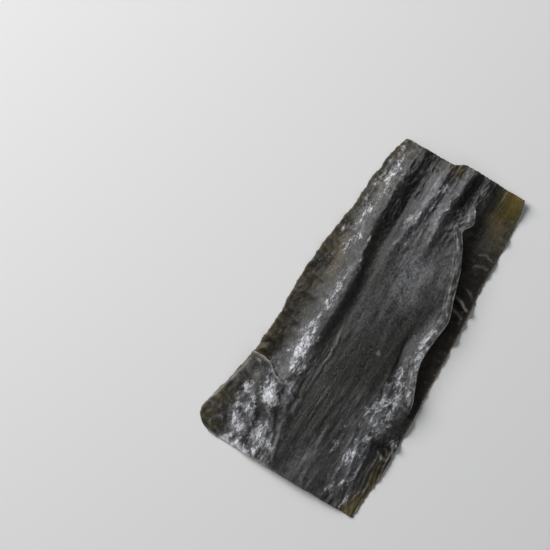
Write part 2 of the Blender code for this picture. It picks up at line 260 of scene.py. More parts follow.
# Painted highlight where the edges catch the light
RIM_HIGHLIGHT = (0.13, 0.115, 0.075, 1)
# Painted highlight on thin edges, crests and wrinkles, with rubbed powder
HIGHLIGHT_AND_WORN_PALE = (0.50, 0.485, 0.455, 1)
POWDER_WHITE = (0.62, 0.625, 0.66, 1)
FLOOR_GREY = (0.70, 0.70, 0.695, 1)
SKY_WHITE = (0.94, 0.97, 1.0, 1)

# Camera, in metres: the width that it sees, its height above the point that it looks straight down at, and
# the angle by which the leaf leans to the right in its frame
CAMERA_SEES = 0.3707
CAMERA_UP = 1.3
CAMERA_OVER = (-0.0677, -0.0079, 0.006)
CAMERA_TURN = math.radians(31)


def smooth(low, high, x):
    """0 below low, 1 above high, and an S curve between. low may be the larger."""
    s = np.clip((x - low) / (high - low), 0, 1)
    return s * s * (3 - 2 * s)


def through(points, at):
    """The smooth curve through (position, value) points, read at each position in at."""
    x, y = np.array(points, float).T
    slope = np.gradient(y, x)
    i = np.clip(np.searchsorted(x, at) - 1, 0, len(x) - 2)
    step = x[i + 1] - x[i]
    s = np.clip((at - x[i]) / step, 0, 1)
    ends = (1 + 2 * s) * (1 - s) ** 2 * y[i] + s * s * (3 - 2 * s) * y[i + 1]
    return ends + step * (s * (1 - s) ** 2 * slope[i] + s * s * (s - 1) * slope[i + 1])


def bell(x, wide):
    return np.exp(-((x / wide) ** 2))


def spot(u, v, across, along, wide, tall):
    """A rounded patch centred at (across, along)."""
    return bell(u - across, wide) * bell(v - along, tall)


def ridge(distance, left, right):
    """A crest whose two flanks have different widths."""
    return np.where(distance < 0, bell(distance, left), bell(distance, right))


def raised(z, softness):
    """z where it is above 0, and 0 below, with a soft bend between."""
    return 0.5 * (z + np.hypot(z, softness))


def drift(x, y, seed):
    """Gradient noise between about -1 and 1, one lattice cell to a unit of x and y."""
    size = 64
    turn = np.random.default_rng(seed).uniform(0, 2 * np.pi, (size, size))
    column, row = np.floor(x).astype(int), np.floor(y).astype(int)
    across, along = x - column, y - row

    def corner(i, j):
        angle = turn[(column + i) % size, (row + j) % size]
        return np.cos(angle) * (across - i) + np.sin(angle) * (along - j)

    ease_x, ease_y = (s**3 * (s * (6 * s - 15) + 10) for s in (across, along))
    near = corner(0, 0) * (1 - ease_x) + corner(1, 0) * ease_x
    far = corner(0, 1) * (1 - ease_x) + corner(1, 1) * ease_x
    return 1.5 * (near * (1 - ease_y) + far * ease_y)


def layered(x, y, seed, layers=3):
    """Several sizes of drift added up, each half as large and half as strong as the one before."""
    return sum(drift(x * 2**k, y * 2**k, seed + 31 * k) / 2**k for k in range(layers))


def creased(x, y, seed):
    """Noise whose zero lines are sharp crests: 1 on them, falling to about 0 between."""
    return (1 - np.clip(1.6 * np.abs(drift(x, y, seed)), 0, 1)) ** 2


# Broad shape, as in the solid


def fold_half(v):
    """Half the width of the fold's grid strip, which narrows where the fold runs into the edge."""
    room = through(RIGHT_EDGE, v) - through(FOLD_LINE, v)
    return np.minimum(FOLD_HALF, 0.72 * room)


def fold_part(u, v):
    """Where a point lies on the fold: -1 before it, 1 past it."""
    return np.clip((u - through(FOLD_LINE, v)) / fold_half(v), -1, 1)


def where_folded(v):
    """1 where the fold stands up, 0 where it has run out."""
    return smooth(3, 8, through(FOLD_DROP, v))


def edge_frays(v, seed):
    """Small scallops and nicks of a side edge."""
    return 0.45 * drift(v / 3.1, 0 * v, seed) + 0.3 * drift(v / 1.4, 0 * v, seed + 1)


def across_at(share, v):
    """Position across the leaf for a column share: 0 to 1 left of the fold, 1 to 2 over it, then to 3."""
    away_from_ends = smooth(118, 100, np.abs(v))
    left = through(LEFT_EDGE, v) + 0.9 * drift(v / 11, 0 * v, 3) * away_from_ends
    right = through(RIGHT_EDGE, v) + 0.6 * drift(v / 8, 0 * v, 4) * away_from_ends
    fold, half = through(FOLD_LINE, v), fold_half(v)
    borders = [left + edge_frays(v, 40), fold - half, fold + half, right + edge_frays(v, 50)]
    zone = np.clip(share.astype(int), 0, 2)
    low, high = np.choose(zone, borders[:3]), np.choose(zone, borders[1:])
    return low + (high - low) * (share - zone)


def along_at(u, v):
    """Position along the leaf of grid row v. Its ends aren't straight, and one row follows the tear."""
    top = -4.4 * smooth(2, -8, u) - 0.6 * smooth(-35, -46, u) + 0.4 * drift(u / 9, 0 * u, 5)
    foot = 0.5 * drift(u / 10, 0 * u, 6) + 0.4 * smooth(44, 58, u)
    chips = 0.35 * drift(u / 2.2, 0 * u, 60) * bell(np.abs(v) - 122, 2.5)
    rise = TEAR_RISE * smooth(TEAR_TIP, TEAR_TIP - TEAR_REACH, u) * bell(v - tear_along(), 16)
    jag = 0.7 * drift(u / 3.5, 0 * u, 61) * bell(v - tear_along(), 3) * smooth(TEAR_TIP, TEAR_TIP - 3, u)
    return v + top * smooth(70, 122, v) + foot * smooth(-70, -122, v) + rise + chips + jag


def tear_along():
    """Where the tear's tip lies along the leaf."""
    return LENGTH * (TEAR_ROW / ROWS - 0.5)


def edge_distance(u, v):
    """How far a point is from the nearer side edge."""
    return np.minimum(u - through(LEFT_EDGE, v), through(RIGHT_EDGE, v) - u)


def thickness(u, v):
    """Thick in the middle band, thin in the margins and at the fold, and thinnest at the side edges."""
    thin = EDGE_THICK + (MARGIN_THICK - EDGE_THICK) * smooth(0, 9, edge_distance(u, v))
    in_band = smooth(BAND_HALF + 16, BAND_HALF, np.abs(u - BAND_MIDDLE))
    line = through(FOLD_LINE, v)
    at_fold = smooth(0, 4, through(FOLD_DROP, v)) * smooth(line - 16, line - 5, u)
    return thin + (MIDDLE_THICK - thin) * in_band * (1 - at_fold)


def broad_shape(u, v):
    """The middle band's low crown, the sag of both margins, and the droop at the two ends."""
    crown = 1.1 * np.clip(1 - ((u - BAND_MIDDLE) / BAND_HALF) ** 2, -1, 1)
    sag = smooth(-24, through(LEFT_EDGE, v) + 3, u) + 0.8 * smooth(38, 60, u) * smooth(-30, -62, v)
    droop = 2.2 * smooth(84, 122, np.abs(v)) + 1.2 * smooth(-70, -122, v)
    return BAND_TOP + crown - MARGIN_SAG * sag - droop


def long_ridges(u, v):
    """Crests and grooves that run along the leaf."""
    from_left = u - through(LEFT_RIDGE, v)
    z = through(LEFT_RIDGE_HIGH, v) * ridge(from_left, 12, 5)
    z = z - 1.5 * ridge(from_left - 8, 4, 8) * smooth(-50, 5, v)
    z = z + through(INNER_TOP_HIGH, v) * ridge(u - through(INNER_TOP_RIDGE, v), 4.2, 3.4)
    z = z + through(OUTER_TOP_HIGH, v) * ridge(u - through(OUTER_TOP_RIDGE, v), 4.2, 3.0)
    z = z - 3.6 * spot(u, v, 14, 104, 4.0, 17) - 3.2 * ridge(u + 20, 4, 6.5) * bell(v - 78, 32)
    return z + 0.35 * drift(u / 7, v / 70, 7) + 1.1 * spot(u, v, 34, -82, 4.5, 18)


def right_fold(u, v):
    """The rise to the fold's crest, and the drop beyond it to the strip of margin that lies flat."""
    drop, line = through(FOLD_DROP, v), through(FOLD_LINE, v)
    rise = 0.17 * drop * smooth(line - 15, line - 1.5, u)
    groove = 1.3 * bell(u - line + 13, 3.2) * smooth(2, 8, drop) * smooth(14, 2, v)
    return rise - groove - drop * through(FOLD_DOWN, fold_part(u, v))


def flap(u, v):
    """The narrow end's right corner, which lies low but curls up, with a knob where the fold starts."""
    low = 3.6 * smooth(20, 34, u) * smooth(76, 104, v) + 2.2 * spot(u, v, 40, 92, 10, 12)
    return 3.0 * spot(u, v, 21.5, 97, 2.6, 7) + 2.6 * spot(u, v, 50, 122, 15, 13) - low


def lower_right(u, v):
    """The swelling, the pinched hollow and the long crease of the right margin below the fold."""
    swelling = 2.6 * spot(u, v, 49, -51, 9, 9)
    pinch = 2.2 * spot(u, v, 57, -66, 5, 3) - 3.0 * spot(u, v, 51, -71, 5, 3.2)
    return swelling + pinch + 1.2 * spot(u, v, 49, -112, 2.5, 13)


def left_lobe(u, v):
    """Soft diagonal wrinkles in the wide corner below the tear."""
    where = smooth(-64, -78, v) * smooth(-10, -26, u)
    wave = np.sin(2 * np.pi * (u + 0.35 * (v + 95)) / 13 + 0.8)
    return where * (1.3 * wave * smooth(-122, -104, v) + 0.8 * drift(u / 14, v / 17, 8))


def ruffles(u, v):
    """Crosswise waves of the margins, which stand up from the table and grow towards the side edges."""
    at_left = smooth(through(LEFT_EDGE, v) + 28, through(LEFT_EDGE, v) + 2, u)
    past_fold = smooth(0, 1, fold_part(u, v)) * smooth(112, 70, v)
    at_right = np.maximum(smooth(through(RIGHT_EDGE, v) - 14, through(RIGHT_EDGE, v), u), past_fold)
    left_waves = 4.2 * drift((v + 0.25 * u) / 15, u / 40, 9) + 1.5 * drift((v - 0.4 * u) / 7.5, u / 20, 12)
    right_waves = 2.6 * drift(v / 11, u / 30, 10) + 1.0 * drift((v + 0.3 * u) / 6, u / 16, 13)
    puckers = 2.4 * bell(v - 40 + 0.3 * (u - 45), 2.6) + 1.5 * bell(v - 71 - 0.2 * (u - 45), 3.0)
    calm = 1 - 0.8 * smooth(-66, -90, v)
    z = at_left * calm * raised(left_waves, 1.0) + at_right * calm * raised(right_waves, 0.8)
    return z + past_fold * puckers + 2.2 * spot(u, v, -52, -53, 4, 3)


# Fine surface


def near_line(u, v, places):
    """Distance to the line through places, and how far along it the nearest place is, from 0 to 1."""
    nearest, progress = np.full(np.shape(u), np.inf), 0 * u
    legs = len(places) - 1
    for leg, ((a, b), (c, d)) in enumerate(zip(places, places[1:])):
        share = np.clip(((u - a) * (c - a) + (v - b) * (d - b)) / ((c - a) ** 2 + (d - b) ** 2), 0, 1)
        distance = np.hypot(u - a - share * (c - a), v - b - share * (d - b))
        progress = np.where(distance < nearest, (leg + share) / legs, progress)
        nearest = np.minimum(distance, nearest)
    return nearest, progress


def crease_lines(u, v):
    """The leaf's single creases, each wandering a little off its line."""
    z = 0 * u
    for index, (high, wide, places) in enumerate(CREASES):
        wander_u = u + 0.8 * drift(u / 9, v / 6, 100 + index)
        wander_v = v + 0.8 * drift(u / 6, v / 9, 130 + index)
        distance, progress = near_line(wander_u, wander_v, places)
        fade = smooth(0, 0.2, progress) * smooth(1, 0.8, progress)
        z = z + high * bell(distance, wide) * fade * (0.7 + 0.5 * drift(v / 7, u / 7, 160 + index))
    return z


def lengthwise_grain(u, v):
    """Fine ribs and wrinkles along the leaf, as the drying middle band shrinks across its width."""
    bend = u + 1.6 * drift(u / 22, v / 30, 20)
    low = 0.3 + 0.7 * smooth(0, -50, v)
    ribs = low * (0.17 * drift(bend / 3.4, v / 38, 21) + 0.08 * drift(bend / 1.9, v / 20, 22))
    pleats = 0.34 * low * creased(bend / 7.5, v / 60, 23) * smooth(-0.2, 0.6, drift(u / 25, v / 50, 24))
    gathers = 0.36 * drift(bend / 2.6, v / 24, 17) + 0.45 * creased(bend / 4.5, v / 38, 18)
    return ribs + pleats + smooth(35, 80, v) * gathers


def crumple(u, v):
    """Small sharp wrinkles in every direction, strongest where the narrow end was gathered."""
    bend_u, bend_v = u + 2.2 * drift(u / 9, v / 9, 25), v + 2.2 * drift(u / 9, v / 9, 26)
    calm = 1 - 0.8 * smooth(34, 20, np.abs(u - BAND_MIDDLE))
    gathered = 0.28 * calm + 0.72 * smooth(40, 88, v) * smooth(34, 20, u) * smooth(-40, -26, u)
    knotted = gathered + 1.2 * spot(u, v, 15, 90, 10, 13) + 0.7 * spot(u, v, 50, -66, 9, 8)
    small = creased(bend_u / 4.2, bend_v / 6.5, 27) - 0.35
    large = creased(bend_u / 9, bend_v / 15, 28) - 0.35
    return knotted * (0.62 * small + 0.95 * large)


def foot_folds(u, v):
    """Sharp lengthwise folds in the foot of the right margin."""
    where = smooth(24, 34, u) * smooth(-60, -78, v)
    bend = u + 0.14 * (v + 100) + 1.6 * drift(u / 10, v / 18, 14)
    large, small = creased(bend / 6.5, v / 45, 15), creased(bend / 3.2, v / 22, 16)
    return where * (1.1 * (large - 0.3) + 0.45 * (small - 0.3))


def margin_wrinkles(u, v):
    """Short puckers that run in from the side edges."""
    from_left, from_right = u - through(LEFT_EDGE, v), through(RIGHT_EDGE, v) - u
    fan = v + 0.25 * u + 1.2 * drift(u / 8, v / 8, 29)
    left = bell(from_left, 15) * (0.75 * drift(fan / 5.5, u / 26, 30) + 0.4 * drift(fan / 2.6, u / 14, 31))
    fan = v - 0.2 * u + 1.0 * drift(u / 8, v / 8, 32)
    past_fold = smooth(-0.2, 1, fold_part(u, v)) * smooth(108, 78, v)
    at_right = np.maximum(bell(from_right, 9), past_fold)
    right = at_right * (0.6 * drift(fan / 4.6, u / 24, 33) + 0.35 * drift(fan / 2.3, u / 12, 34))
    return left + right * (1 - 0.6 * smooth(95, 112, v))


def across_lobe(u, v):
    """Position across the wrinkles of the wide corner below the tear, which lean and wander."""
    return u + 0.45 * v + 2.5 * drift(u / 11, v / 14, 35)


def lobe_wrinkles(u, v):
    """Soft wrinkles in the wide corner below the tear."""
    turned = across_lobe(u, v)
    return 0.6 * (creased(turned / 8, v / 22, 36) - 0.3) + 0.3 * drift(turned / 3.6, v / 9, 37)


def lobe_swells(u, v):
    """Rounded swells and hollows, about 8 mm across, in the same corner. The bloom lies on the swells."""
    turned = across_lobe(u, v)
    return drift(turned / 8, v / 11, 85) + 0.4 * drift(turned / 4, v / 6, 87)


def lobe_share(u, v):
    """1 in the wide corner below the tear, 0 outside it."""
    return smooth(-60, -72, v) * smooth(-8, -20, u) * smooth(-69, -52, u)


def crest_lines(u, v):
    """Thin lips that follow the crest of the fold."""
    part = (u - through(FOLD_LINE, v)) / fold_half(v)
    lips = 0 * u
    for index, (place, strength) in enumerate(CREST_LINES):
        wander = 0.05 * drift(v / 3.5, 0 * v, 86 + index) + 0.08 * drift(v / 11, 0 * v, 90 + index)
        fade = smooth(-0.5, 0.5, drift(v / 8, 0 * v, 94 + index)) if index else 1
        lips = lips + strength * bell(part - place - wander, 0.07) * fade
    return lips * where_folded(v)


def fine_surface(u, v):
    """Everything too small for the solid."""
    in_band = smooth(44, 22, np.abs(u - BAND_MIDDLE))
    on_flap = smooth(24, 31, u) * smooth(56, 84, v)
    grain = lengthwise_grain(u, v) * (0.45 + 0.55 * in_band) * (1 - 0.85 * on_flap)
    mottle = 0.12 * layered(u / 5, v / 14, 39) + 0.09 * creased(u / 2.4, v / 7, 19) * (1 - on_flap)
    z = grain + crumple(u, v) * (1 - 0.7 * on_flap) + foot_folds(u, v) + margin_wrinkles(u, v)
    z = z + lobe_share(u, v) * (lobe_wrinkles(u, v) + 1.1 * lobe_swells(u, v))
    return z + 0.45 * crest_lines(u, v) + crease_lines(u, v) + mottle


def height(u, v):
    """The upper face's height. Where the leaf would sag below the table, the table holds it up level."""
    z = broad_shape(u, v) + long_ridges(u, v) + right_fold(u, v) + flap(u, v)
    z = z + lower_right(u, v) + left_lobe(u, v) + 0.5 * drift(u / 27, v / 31, 11)
    under = z - thickness(u, v)
    return thickness(u, v) + raised(under, REST_SOFTNESS) + ruffles(u, v) - REST_CUT + fine_surface(u, v)


def lean(u, v):
    """Sideways shift that turns the drop of the fold into an S, its crest hanging over its foot."""
    part = fold_part(u, v)
    return fold_half(v) * (through(FOLD_ACROSS, part) - part) * smooth(1, 6, through(FOLD_DROP, v))


def tear_lips(u, v, side):
    """How far the tear's lips part along the leaf, and how far they rise. side: -1 below it, 1 above."""
    depth = np.clip(TEAR_TIP - u, 0, None)
    near = bell(v - tear_along(), 13)
    lap = smooth(OPEN_DEPTH, OPEN_DEPTH + 7, depth)
    apart = 0.5 * (LIPS_APART * smooth(0, 2, depth) - (LIPS_APART + LIPS_LAP) * lap) * side
    lift = np.where(side < 0, LOWER_LIP_LIFT, -UPPER_LIP_SINK) * smooth(0, 18, depth)
    return apart * near, lift * near


# Masks for the finish, from 0 to about 1, but for crest_mask


def bloom_mask(u, v):
    """Where the white powder has come out of the leaf as it dried."""
    wander_u = u + 2.6 * drift(u / 9, v / 12, 70) + 1.3 * drift(u / 3.2, v / 5.5, 72)
    wander_v = v + 5.0 * drift(u / 8, v / 12, 71)
    bare = np.ones_like(u)
    for wide, strength, places in BLOOM_STREAKS:
        distance, progress = near_line(wander_u, wander_v, places)
        fade = smooth(-0.05, 0.15, progress) * smooth(1.05, 0.85, progress)
        bare = bare * (1 - strength * bell(distance, 1.15 * wide) * fade)
    for *patch, strength in BLOOM_PATCHES:
        bare = bare * (1 - strength * spot(wander_u, wander_v, *patch))
    bare = bare * (1 - 0.4 * crest_lines(u, v))
    past_crest = smooth(-0.3, 0, fold_part(u, v)) * where_folded(v)
    cover = (1 - bare) * (1 - 0.85 * past_crest)
    uneven = 1 + 0.5 * layered(u / 5.5, v / 9, 73) + 0.75 * lobe_share(u, v) * lobe_swells(u, v)
    return np.clip(cover * uneven, 0, 1.3)


def tear_lip_highlight_mask(u, row_along, side):
    """Painted highlight on the thin edge of the tear's lower lip."""
    return 0.95 * (side < 0) * bell(row_along - tear_along(), 0.9) * smooth(0, 3, TEAR_TIP - u)


def highlight_lines_mask(u, v):
    """Thin lines of painted highlight, with rubbed powder: on the fold's crest, on the listed wrinkles,
    along the foot, and along the edges of the wide corner.
    """
    lines = 1.15 * crest_lines(u, v) * (0.7 + 0.9 * drift(v / 3, u / 2, 76))
    wander_u, wander_v = u + 0.6 * drift(u / 5, v / 5, 82), v + 0.6 * drift(u / 4, v / 5, 83)
    for strength, places in HIGHLIGHT_LINES:
        distance, progress = near_line(wander_u, wander_v, places)
        fade = smooth(-0.05, 0.25, progress) * smooth(1.05, 0.75, progress)
        lines = np.maximum(lines, strength * bell(distance, 0.75) * fade)
    foot = 0.8 * bell(v + 122, 0.9) * smooth(2, -18, u) * (1 + 0.4 * drift(u / 5, 0 * v, 84))
    side = 0.5 * bell(u - through(LEFT_EDGE, v) - 0.6, 0.9) * (1 + 0.5 * drift(v / 5, 0 * v, 98))
    side = side * smooth(-58, -66, v) * smooth(-113, -98, v)
    return np.clip(np.maximum.reduce([lines, foot, side]), 0, 1)


def haze_and_sheen_mask(u, v):
    """Where a thin film of powder greys the leaf, and, on the narrow end's ridges, a painted sheen."""
    wander_u, wander_v = u + 3 * drift(u / 12, v / 18, 78), v + 8 * drift(u / 12, v / 18, 79)
    film = 0 * u
    for *patch, strength in HAZE_AND_SHEEN_PATCHES:
        film = np.maximum(film, strength * spot(wander_u, wander_v, *patch))
    return np.clip(film * (1 + 0.45 * layered(u / 7, v / 16, 80)), 0, 1)


def thin_mask(u, v):
    """Where the leaf is thin enough for its olive colour to show."""
    from_left, from_right = u - through(LEFT_EDGE, v), through(RIGHT_EDGE, v) - u
    left = 0.42 * smooth(17, 2, from_left + 4 * drift(u / 12, v / 12, 75))
    right = 0.8 * smooth(13, 3, from_right + 3 * drift(u / 9, v / 12, 76)) * smooth(-66, -84, v)
    corner = smooth(24, 42, u) * smooth(84, 116, v) + 0.3 * smooth(26, 36, u) * smooth(66, 80, v)
    foot = 0.9 * spot(u, v, 54, -117, 7, 9) + 0.8 * spot(u, v, -55, -115, 5, 4.5)
    spots = foot + 0.35 * spot(u, v, -42, 20, 6, 26) + 0.7 * spot(u, v, -4, 117, 9, 6)
    mouth = 0.7 * spot(u, v, -54, -56, 5, 6)
    mask = np.maximum.reduce([left, right, corner, mouth]) + spots
    in_band = smooth(42, 26, np.abs(u - BAND_MIDDLE))
    return np.clip(mask + (0.16 - 0.11 * in_band) * layered(u / 10, v / 10, 77), 0, 1)


def brown_and_shadow_mask(u, v):
    """Where the leaf is painted brown-black: the strip outside the fold, darkened as the painted shadow of
    its crest, and painted shade in the hollows of both margins.
    """
    past_fold = smooth(-0.2, 0.3, fold_part(u, v)) * smooth(92, 70, v) * smooth(-48, -36, v)
    left_margin = 0.75 * spot(u, v, -49, -22, 8, 36) + 0.6 * spot(u, v, -47, -58, 5, 3)
    return np.clip(past_fold + left_margin + 0.3 * spot(u, v, 53, -104, 9, 20), 0, 1)


def painted_shade_mask(u, v):
    """Painted shade: where the leaf is painted blackest and kept bare of powder, in grooves and beside the
    fold's crest.
    """
    patches = sum(strength * spot(u, v, *patch) for *patch, strength in PAINTED_SHADE_PATCHES)
    lines = 0 * u
    for places in PAINTED_SHADE_LINES:
        distance, progress = near_line(u + drift(u / 5, v / 7, 81), v, places)
        fade = smooth(0, 0.15, progress) * smooth(1, 0.85, progress)
        lines = np.maximum(lines, 0.6 * bell(distance, 1.1) * fade)
    part = (u - through(FOLD_LINE, v)) / fold_half(v) - 0.08 * drift(v / 9, 0 * v, 99)
    beside_crest = 0.6 * bell(part + 0.42, 0.07) * where_folded(v) * smooth(-6, 6, v)
    return np.clip(patches + lines + beside_crest, 0, 1)


def crest_mask(u, v):
    """How far a point of the fine surface stands above the points around it, in millimetres."""
    steps = ((1.4, 0), (-1.4, 0), (0, 2.2), (0, -2.2))
    around = [fine_surface(u + across, v + along) for across, along in steps]
    return fine_surface(u, v) - sum(around) / len(around)


def drawn_mask(u, v):
    """Where fine straight lines run along the leaf: low in the middle band, and at its narrow end."""
    in_band = smooth(40, 26, np.abs(u - BAND_MIDDLE))
    along = np.maximum(smooth(-12, -58, v), 0.8 * smooth(46, 84, v))
    return np.clip(0.15 + 0.85 * in_band * along, 0, 1)


def rim_highlight_mask(u, v):
    """The last millimetre at each edge, painted paler as a highlight where the edge catches the light."""
    from_end = LENGTH / 2 - np.abs(v)
    return np.maximum(bell(edge_distance(u, v), 0.9), 0.6 * bell(from_end, 0.8))


# The leaf's mesh


def column_shares():
    """The grid's columns, as shares for across_at."""
    cells = (CELLS_LEFT, CELLS_FOLD, CELLS_RIGHT)
    return np.append(np.concatenate([zone + np.arange(n) / n for zone, n in enumerate(cells)]), 3.0)


def grid_places(grid, columns):
    """Column and row of each point of the unit grid, as whole numbers."""
    at = np.array([vertex.co for vertex in grid.verts])[:, :2] + 0.5
    return np.rint(at * (columns - 1, ROWS)).astype(int)


def tear_grid(grid, shares):
    """Splits the grid along the tear's row, from the left edge to its tip. Returns each point's side."""
    along_tear = across_at(shares, np.full(len(shares), tear_along()))
    tip = int(np.argmin(np.abs(along_tear - TEAR_TIP)))
    places = grid_places(grid, len(shares))
    on_tear = (places[:, 1] == TEAR_ROW) & (places[:, 0] <= tip)
    cut = [edge for edge in grid.edges if all(on_tear[vertex.index] for vertex in edge.verts)]
    bmesh.ops.split_edges(grid, edges=cut)
    around = [[face.calc_center_median().y for face in vertex.link_faces] for vertex in grid.verts]
    return np.where([np.mean(faces) < TEAR_ROW / ROWS - 0.5 for faces in around], -1, 1)


def place_points(grid, shares, side):
    """Moves the grid's points to their places on the leaf. Returns their u and v, and their rows' v."""
    places = grid_places(grid, len(shares))
    row_along = LENGTH * (places[:, 1] / ROWS - 0.5)
    u = across_at(shares[places[:, 0]], row_along)
    v = along_at(u, row_along)
    apart, lift = tear_lips(u, row_along, side)
    z = np.maximum(height(u, v) + lift, thickness(u, v) - REST_CUT)
    points = np.column_stack([u + lean(u, v), v + apart, z])
    middle = (points.min(axis=0) + points.max(axis=0)) / 2
    points[:, :2] -= middle[:2]
    for vertex, point in zip(grid.verts, points * MM):
        vertex.co = point
    return u, v, row_along


def store_masks(mesh, u, v, row_along, side):
    """Keeps the masks on the mesh, one value to a point, for the material to read."""
    masks = {
        "bloom": bloom_mask(u, v),
        # Powder film, and a painted sheen on the narrow end's ridges
        "haze": haze_and_sheen_mask(u, v),
        # Painted highlight lines on the crest, wrinkles and edges
        "lips": np.maximum(highlight_lines_mask(u, v), tear_lip_highlight_mask(u, row_along, side)),
        "thin": thin_mask(u, v),
        # Brown-black strip outside the fold with its painted shadow, and painted shade in the margins'
        # hollows
        "deep": brown_and_shadow_mask(u, v),
        # Painted shade in grooves and beside the fold's crest
        "shade": painted_shade_mask(u, v),
        # Painted highlight along the edges
        "rim": rim_highlight_mask(u, v),
        "crest": crest_mask(u, v),
        "drawn": drawn_mask(u, v),
    }
    for name, values in masks.items():
        mesh.attributes.new(name, "FLOAT", "POINT").data.foreach_set("value", values.astype(np.float32))


def make_leaf():
    """The upper face as an open grid, with its masks, and a thickness that Solidify will give it."""
    shares = column_shares()
    grid = bmesh.new()
    bmesh.ops.create_grid(grid, x_segments=len(shares) - 1, y_segments=ROWS, size=0.5)
    side = tear_grid(grid, shares)
    u, v, row_along = place_points(grid, shares, side)
    mesh = bpy.data.meshes.new("kelp_leaf_face")
    grid.to_mesh(mesh)
    grid.free()
    leaf = bpy.data.objects.new("kelp_leaf", mesh)
    bpy.context.scene.collection.objects.link(leaf)
    group = leaf.vertex_groups.new(name="thickness")
    for index, share in enumerate(thickness(u, v) / MIDDLE_THICK):
        group.add([index], float(share), "REPLACE")
    store_masks(mesh, u, v, row_along, side)
    solid = leaf.modifiers.new("thickness", "SOLIDIFY")
    solid.thickness = MIDDLE_THICK * MM
    solid.offset = -1
    solid.vertex_group = "thickness"
    return leaf


def close_leaf(leaf):
    """Applies the thickness and keeps everything above the table."""
    evaluated = leaf.evaluated_get(bpy.context.evaluated_depsgraph_get())
    mesh = bpy.data.meshes.new_from_object(evaluated)
    mesh.name = "kelp_leaf"
    leaf.modifiers.clear()
    leaf.data = mesh
    points = np.empty(3 * len(mesh.vertices))
    mesh.vertices.foreach_get("co", points)
    points[2::3] = np.maximum(points[2::3], 0)
    mesh.vertices.foreach_set("co", points)
    mesh.shade_smooth()
    mesh.update()


# Materials


class Nodes:
    """Short helpers for building a node tree. In the functions below, n is one of these."""

    def __init__(self, name):
        self.material = bpy.data.materials.new(name)
        self.material.use_nodes = True
        self.tree = self.material.node_tree
        self.shader = self.tree.nodes["Principled BSDF"]

    def add(self, kind, inputs=(), **settings):
        node = self.tree.nodes.new(kind)
        for key, value in settings.items():
            setattr(node, key, value)
        for key, value in dict(inputs).items():
            self.feed(node.inputs[key], value)
        return node

    def feed(self, socket, value):
        if isinstance(value, bpy.types.NodeSocket):
            self.tree.links.new(value, socket)
        else:
            socket.default_value = value

    def maths(self, operation, *values, clamp=False):
        node = self.add("ShaderNodeMath", operation=operation, use_clamp=clamp)
        for socket, value in zip(node.inputs, values):
            self.feed(socket, value)
        return node.outputs[0]

    def times(self, first, *others):
        for value in others:
            first = self.maths("MULTIPLY", first, value)
        return first

    def plus(self, first, *others):
        for value in others:
            first = self.maths("ADD", first, value)
        return first

    def position(self, along):
        """Place on the leaf in millimetres, with its part along the leaf scaled, which draws noise out."""
        place = self.add("ShaderNodeTexCoord").outputs["Object"]
        scale = (1 / MM, along / MM, 1 / MM)
        return self.add("ShaderNodeVectorMath", {0: place, 1: scale}, operation="MULTIPLY").outputs[0]

    def noise(self, vector, scale, detail, roughness, distortion=0.0):
        inputs = {"Vector": vector, "Scale": scale, "Detail": detail}
        inputs |= {"Roughness": roughness, "Distortion": distortion}
        return self.add("ShaderNodeTexNoise", inputs).outputs["Fac"]

    def off_level(self, noise, level):
        """How far a noise is from a level: 0 along thin winding lines."""
        return self.maths("ABSOLUTE", self.maths("SUBTRACT", noise, level))

    def range(self, value, low, high, to_low=0.0, to_high=1.0):
        inputs = {"Value": value, "From Min": low, "From Max": high, "To Min": to_low, "To Max": to_high}
        return self.add("ShaderNodeMapRange", inputs, interpolation_type="SMOOTHSTEP").outputs["Result"]

    def mix(self, factor, first, second):
        node = self.add("ShaderNodeMix", data_type="RGBA")
        self.feed(node.inputs["Factor"], factor)
        self.feed(node.inputs[6], first)
        self.feed(node.inputs[7], second)
        return node.outputs[2]

    def mask(self, name):
        return self.add("ShaderNodeAttribute", attribute_name=name).outputs["Fac"]


def kelp_patterns(n):
    """The mesh's masks, and noise, most of it drawn out along the leaf. Below, p is a set of these."""
    names = ("bloom", "haze", "lips", "thin", "deep", "shade", "rim", "crest", "drawn")
    p = SimpleNamespace(**{name: n.mask(name) for name in names})
    even, long, longer, longest = (n.position(along) for along in (1, 0.45, 0.11, 0.045))
    p.grain = n.noise(even, 0.55, 4, 0.68, 0.5)
    p.specks = n.noise(even, 1.05, 2, 0.5)
    p.clouds = n.noise(even, 0.055, 3, 0.55)
    p.flecks = n.noise(long, 0.5, 4, 0.68, 1.3)
    p.feathers = n.noise(long, 0.14, 4, 0.6, 1.0)
    p.clumps = n.noise(long, 0.17, 3, 0.5, 0.9)
    p.gaps = n.noise(long, 0.95, 2, 0.6, 0.8)
    p.cracks = n.off_level(n.noise(long, 0.30, 3, 0.62, 1.6), 0.5)
    p.veins = n.off_level(n.noise(long, 0.22, 3, 0.6, 1.1), 0.52)
    p.streaks = n.noise(longer, 0.42, 4, 0.64, 0.5)
    p.threads = n.noise(longest, 0.36, 4, 0.66, 0.35)
    p.lines = n.mix(p.drawn, p.grain, p.streaks)
    return p


def dark_colour(n, p):
    """The thick middle of the leaf."""
    dark = n.mix(n.range(p.lines, 0.38, 0.62), LEAF_BLACK, LEAF_GREY)
    dark = n.mix(n.range(p.flecks, 0.47, 0.68, 0, 0.62), dark, LEAF_FLECK)
    dark = n.mix(n.range(p.clouds, 0.42, 0.66, 0, 0.35), dark, LEAF_CLOUD)
    # Painted highlight: crests are painted lighter
    return n.mix(n.range(p.crest, 0.01, 0.22, 0, 0.6), dark, LEAF_CREST_HIGHLIGHT)


